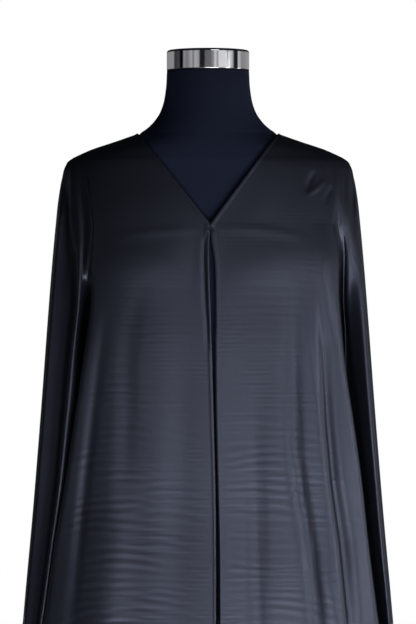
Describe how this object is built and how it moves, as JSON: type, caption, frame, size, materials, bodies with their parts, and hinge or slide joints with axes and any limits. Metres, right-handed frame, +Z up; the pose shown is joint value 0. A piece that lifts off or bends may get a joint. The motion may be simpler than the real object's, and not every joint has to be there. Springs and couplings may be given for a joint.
{
  "type": "abaya cloak on a limbless dress form",
  "caption": "Long open-fronted satin cloak with a V neck and sleeves cut in one, hooked at the V, worn by a covered limbless dress form on a round stand.",
  "frame": {"origin": "centre of the underside of the stand's base, on the floor", "axes": "+Z up, -Y out of the garment's front, +X towards the wearer's left"},
  "size_m": [0.7194, 0.4839, 1.5336],
  "materials": {
    "satin": "crinkled satin, near black",
    "form_cover": "matt navy jersey",
    "chrome": "polished",
    "fastening": "black enamel"
  },
  "bodies": {
    "root": {"front_right": "satin", "front_left": "satin", "back": "satin", "hook": "fastening", "eye": "fastening", "form_torso": "form_cover", "neck_cap": "chrome", "flange": "chrome", "pole_collar": "chrome", "pole": "chrome", "base": "chrome"}
  },
  "joints": []
}
